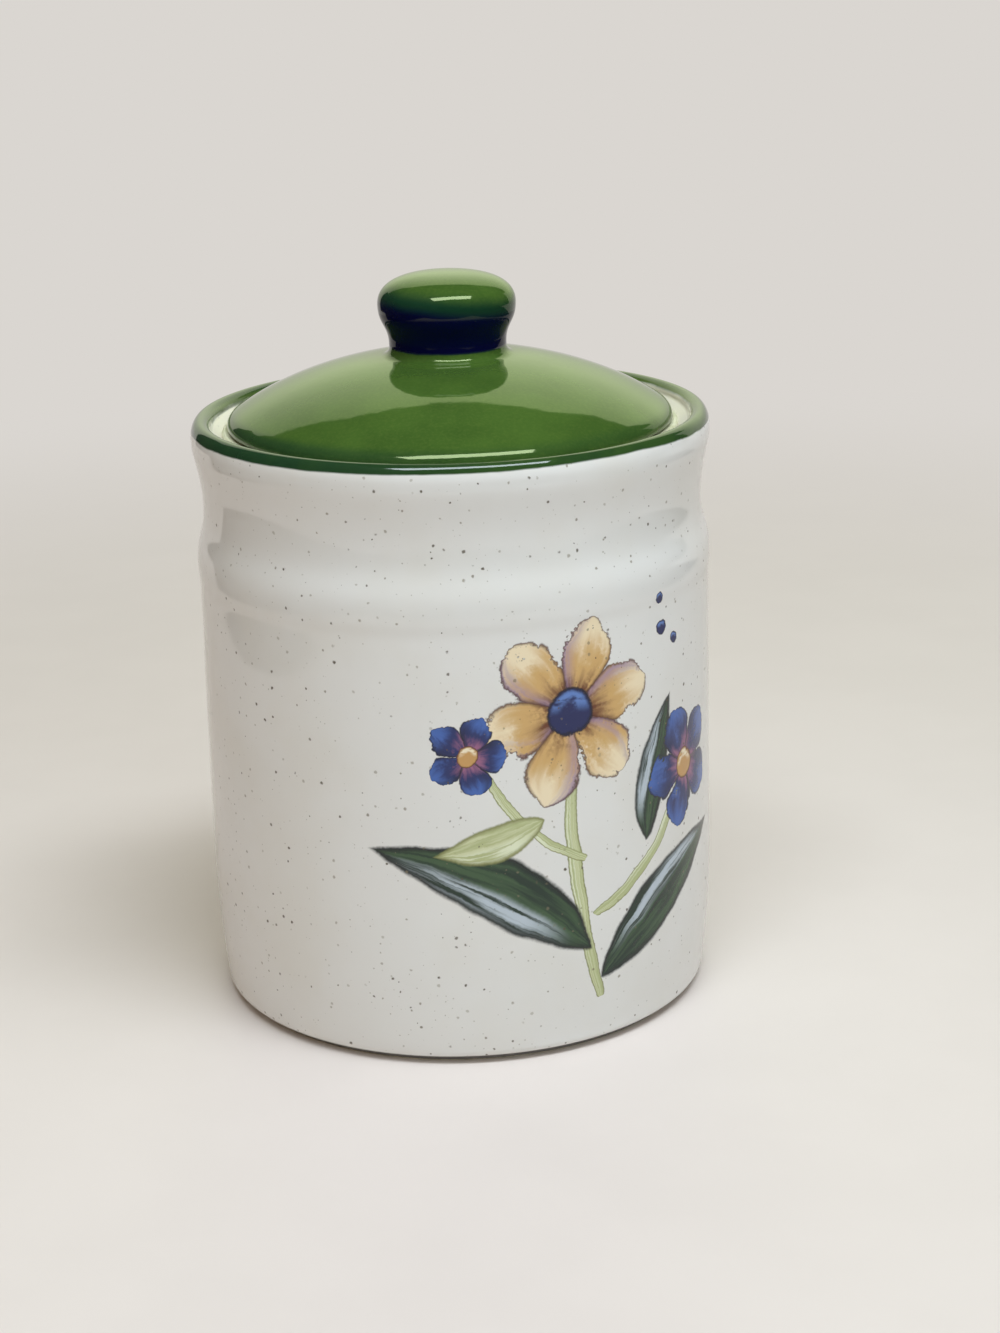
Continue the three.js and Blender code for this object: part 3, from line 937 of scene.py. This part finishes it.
def modelLid(s):
    edgeStart = s["edge"] - s["edgeRound"]
    start = s["edge"] - s["edgeInset"]
    domeTop = s["under"] + s["edgeHeight"] + s["domeRise"]
    span = s["edge"] + s["domeSpan"]
    ceilingSpan = span - s["wall"]

    def fall(radius, reach):
        return math.sqrt(1 - (radius / reach) ** 2)

    depth = s["domeRise"] / (1 - fall(start, span))
    ceilingDepth = depth - s["wall"]
    middle = domeTop - depth

    def dome(radius):
        return middle + depth * fall(radius, span)

    def ceiling(radius):
        return middle + ceilingDepth * fall(radius, ceilingSpan)

    soft = s["soft"]
    waist = s["top"] - s["crown"]
    wellTop = s["top"] - s["wellRoof"]
    wellStart = s["well"] + s["fillet"]
    bore = s["flange"] - s["flangeThick"]
    boreStart = bore - s["flangeFillet"]
    bead = s["flange"] + s["flangeBead"]
    beadTop = s["foot"] + s["beadHeight"]
    neckStart = s["neck"] + s["fillet"]

    section = [Vector((0, wellTop))]
    roundTo(section, (0, wellTop - s["well"]), (s["well"],) * 2, (quarter, 0), 10)
    lineTo(section, s["well"], ceiling(s["well"]) + s["fillet"], 4)
    bendTo(section, (s["well"], ceiling(s["well"])), (wellStart, ceiling(wellStart)), 6)
    turns = math.acos(wellStart / ceilingSpan), math.acos(boreStart / ceilingSpan)
    roundTo(section, (0, middle), (ceilingSpan, ceilingDepth), turns, 18)
    bendTo(section, (bore, ceiling(bore)), (bore, ceiling(bore) - s["flangeFillet"]), 8)
    lineTo(section, bore, s["foot"] + s["flangeRound"], 4)
    turns = 2 * quarter, 3 * quarter
    footMiddle = (bore + s["flangeRound"], s["foot"] + s["flangeRound"])
    roundTo(section, footMiddle, (s["flangeRound"],) * 2, turns, 6)
    lineTo(section, s["flange"], s["foot"], 2)
    bendTo(section, (bead, s["foot"]), (bead, s["foot"] + s["beadHeight"] / 2), 6)
    lineTo(section, bead, beadTop - soft)
    bendTo(section, (bead, beadTop), (bead - soft, beadTop), 3)
    lineTo(section, s["flange"] + soft / 2, beadTop)
    bendTo(section, (s["flange"], beadTop), (s["flange"], beadTop + soft), 3)
    lineTo(section, s["flange"], s["under"] - soft, 6)
    bendTo(section, (s["flange"], s["under"]), (s["flange"] + soft, s["under"]), 3)
    lineTo(section, edgeStart, s["under"], 4)
    edgeMiddle = (edgeStart, s["under"] + s["edgeRound"])
    roundTo(section, edgeMiddle, (s["edgeRound"],) * 2, (-quarter, 0), 8)
    pull = s["under"] + (s["edgeRound"] + s["edgeHeight"]) / 2
    bendTo(section, (s["edge"], pull), (start, s["under"] + s["edgeHeight"]), 8)
    turns = math.acos(start / span), math.acos(neckStart / span)
    roundTo(section, (0, middle), (span, depth), turns, 34)
    neckLevel = dome(s["neck"])
    bendTo(section, (s["neck"], neckLevel), (s["neck"], neckLevel + s["fillet"]), 10)
    easeTo(section, s["knob"], waist, 16)
    crown = (s["knob"], (waist + s["top"]) / 2), (s["crownFlat"], s["top"])
    curveTo(section, crown, (0, s["top"]), 22)

    def shown(at):
        return float(at.y > s["under"] + s["edgeHeight"] and at.y > ceiling(min(at.x, start)) + mm)

    lid = turnPiece("domedLid", section, s["steps"])
    unevenSkin(lid, s["unevenSize"], s["unevenDepth"], shown)
    giveFinish(lid, greenGlaze)
    low, full = (lidShadeSizes["low"] + lidShadeSizes["lowFade"]) * mm, lidShadeSizes["shadowFull"] * mm
    high = lidShadeSizes["shadowTop"] * mm
    # the knob's underside and neck take the less reflective copies, as painted shade
    giveFinish(lid, shadedGreenGlaze, lambda at: at.x > s["neck"] - mm and full < at.y < high)
    giveFinish(lid, knobShadowGlaze, lambda at: at.x < neckStart + mm and low < at.y < full)
    giveFinish(lid, creamGlaze, lambda at: at.x < s["flange"] - mm and (
        at.y < ceiling(min(at.x, bore)) + mm or (at.x < s["well"] + mm and at.y < wellTop + mm / 10)))
    smoothPiece(lid)
    return lid


domedLid = modelLid(lidSizes)
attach(domedLid, "lid")
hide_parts("lid")
print("lid turned:", len(domedLid.data.polygons), "faces")

# floor: lit near the canister, and further off a plain pale ground
paleGround = tint(218, 214, 209)
floorSizes = {
    "width": 60,
    "colour": tint(228, 218, 212),
    "shade": tint(226, 216, 210),
    "patch": 60,    # millimetres
    "roughness": 0.6,
    "near": 0.27,
    "far": 0.9,
}


def seenDirectly(tree):    # by the camera, in gloss or through the seal
    path = addNode(tree, "ShaderNodeLightPath")
    seen = work(tree, "MAXIMUM", path.outputs["Is Camera Ray"], path.outputs["Is Glossy Ray"])
    return work(tree, "MAXIMUM", seen, path.outputs["Is Transmission Ray"])


def blend(tree, share, under, over, outlet):    # one shader over another
    mixed = addNode(tree, "ShaderNodeMixShader")
    for socket, value in zip(mixed.inputs, (share, under.outputs[0], over.outputs[0])):
        tree.links.new(value, socket)
    tree.links.new(mixed.outputs[0], outlet.inputs["Surface"])


def layFloor(s):
    floor = addPlane("paleFloor", s["width"])
    material, tree, shader, place = startMaterial("paleFloor")
    patches = fade(tree, cloud(tree, place, s["patch"], 3.0), 0.35, 0.65)
    tree.links.new(lay(tree, patches, s["colour"], s["shade"]), shader.inputs["Base Color"])
    shader.inputs["Roughness"].default_value = s["roughness"]
    off = fade(tree, length(tree, place), s["near"] / mm, s["far"] / mm)
    ground = addNode(tree, "ShaderNodeEmission")
    ground.inputs["Color"].default_value = paleGround
    outlet = next(made for made in tree.nodes if made.type == "OUTPUT_MATERIAL")
    blend(tree, times(tree, off, seenDirectly(tree)), shader, ground, outlet)
    floor.data.materials.append(material)


layFloor(floorSizes)


# corners of a screen that stands or lies
def standing(start, end, low, high):
    return [(*start, low), (*end, low), (*end, high), (*start, high)]


def lying(level, *corners):
    return [(*corner, level) for corner in corners]


# studio: a strip and a soft lamp over the front, a soft key on the right, a little warmth from the
# left, a bright wall behind and dark flags; wall and flags show in the gloss only
daylight = (0.83, 0.925, 1.0)
studioSizes = {
    "aim": (0, 0, 0.12),
    "lamps": {
        "frontStrip": {"place": (0.15, -0.62, 1.62), "width": 1.45, "tall": 0.42, "watts": 23,
                       "colour": daylight},
        "frontSoft": {"place": (0.6, -0.45, 2.1), "width": 1.4, "tall": 1.4, "watts": 11,
                      "colour": daylight},
        "rightKey": {"place": (0.9, -1.6, 0.7), "width": 1.4, "tall": 1.4, "watts": 7.0,
                     "colour": (0.65, 0.88, 1.0)},
        "leftWarm": {"place": (-1.0, -0.7, 0.5), "width": 0.9, "tall": 0.5, "watts": 0.7,
                     "colour": (1.0, 0.83, 0.60)},
    },
    "fillColour": tint(255, 231, 198),
    "fill": 0.215,
    "wall": standing((-9, 3.6), (9, 3.6), 0.02, 7),
    "wallGlow": {"colour": (0.91, 1.0, 0.65), "strength": 1.42, "dim": tint(212, 213, 197),
                 "paint": tint(20, 20, 20),
                 "middle": 800, "inner": 600, "outer": 4200, "low": 100, "high": 1500},    # millimetres
    "cloth": (tint(52, 50, 48), tint(66, 63, 60)),
    "flags": {
        "over": lying(1.75, (-0.6, -2.6), (0.6, -2.6), (0.6, 1.24), (-0.6, 1.24)),
        "overLeft": lying(1.75, (-3, -2.6), (-0.6, -2.6), (-0.6, 1.24), (-3, 2.9)),
        "overRight": lying(1.75, (0.6, -2.6), (3, -2.6), (3, 2.9), (0.6, 1.24)),
        "front": standing((-3, -2.6), (3, -2.6), 0.0, 1.75),
        "under": lying(0.01, (-2.2, -2.6), (2.2, -2.6), (2.2, -0.5), (-2.2, -0.5)),
        "underRight": lying(0.01, (0.45, -0.5), (2.2, -0.5), (2.2, 0.4), (0.45, 0.4)),
        "left": standing((-0.42, -2.6), (-0.42, 0.28), 0.0, 1.2),
        "backLeft": standing((-0.42, 0.28), (-0.37, 0.47), 0.09, 0.45),
        "right": standing((2.2, -2.6), (2.2, 1.5), 0.0, 1.75),
    },
}


def addSoftbox(name, lamp, aim):
    towards = Vector(aim) - Vector(lamp["place"])
    turn = towards.to_track_quat("-Z", "Y").to_euler()
    bpy.ops.object.light_add(type="AREA", location=lamp["place"], rotation=turn)
    light = bpy.context.object
    light.name = name
    light.data.shape = "RECTANGLE"
    light.data.size = lamp["width"]
    light.data.size_y = lamp["tall"]
    light.data.energy = lamp["watts"]
    light.data.color = lamp["colour"]
    light.visible_camera = False
    return light


def addScreen(name, corners, material):
    screen = addPlane(name, 1)
    rows = corners[0], corners[1], corners[3], corners[2]    # a plane counts its corners row by row
    for vertex, corner in zip(screen.data.vertices, rows):
        vertex.co = corner
    screen.data.materials.append(material)
    screen.visible_camera = False
    screen.visible_diffuse = False
    screen.visible_shadow = False


def makeBlackCloth(colours):
    material, tree, shader, place = startMaterial("blackCloth")
    weave = fade(tree, cloud(tree, place, 30, 2.0), 0.3, 0.7)
    tree.links.new(lay(tree, weave, *colours), shader.inputs["Base Color"])
    shader.inputs["Roughness"].default_value = 0.9
    return material


def makeWallGlow(glow):    # brightest high up, behind the canister and a little to its right
    material, tree, shader, place = startMaterial("wallGlow")
    shader.inputs["Base Color"].default_value = glow["paint"]
    x, _, height = split(tree, place)
    off = work(tree, "ABSOLUTE", work(tree, "SUBTRACT", x, glow["middle"]))
    share = fade(tree, off, glow["outer"], glow["inner"])
    share = times(tree, share, fade(tree, height, glow["low"], glow["high"]))
    bright = (*(glow["strength"] * value for value in glow["colour"]), 1.0)
    tree.links.new(lay(tree, share, glow["dim"], bright), shader.inputs["Emission Color"])
    shader.inputs["Emission Strength"].default_value = 1.0
    return material


def lightStudio(s):
    for name, lamp in s["lamps"].items():
        light = addSoftbox(name, lamp, s["aim"])
        light.visible_glossy = name == "frontStrip"    # the only lamp that shows in the gloss
    addScreen("backWall", s["wall"], makeWallGlow(s["wallGlow"]))
    blackCloth = makeBlackCloth(s["cloth"])
    for name, corners in s["flags"].items():
        addScreen(name + "Flag", corners, blackCloth)
    world = bpy.data.worlds.new("paleRoom")
    bpy.context.scene.world = world
    world.use_nodes = True
    tree = world.node_tree
    tree.nodes.clear()
    fill = addNode(tree, "ShaderNodeBackground")
    fill.inputs["Color"].default_value = s["fillColour"]
    fill.inputs["Strength"].default_value = s["fill"]
    room = addNode(tree, "ShaderNodeBackground")
    room.inputs["Color"].default_value = paleGround
    blend(tree, seenDirectly(tree), fill, room, addNode(tree, "ShaderNodeOutputWorld"))


lightStudio(studioSizes)
bpy.context.scene.view_settings.view_transform = "Standard"
print("floor and lights set")
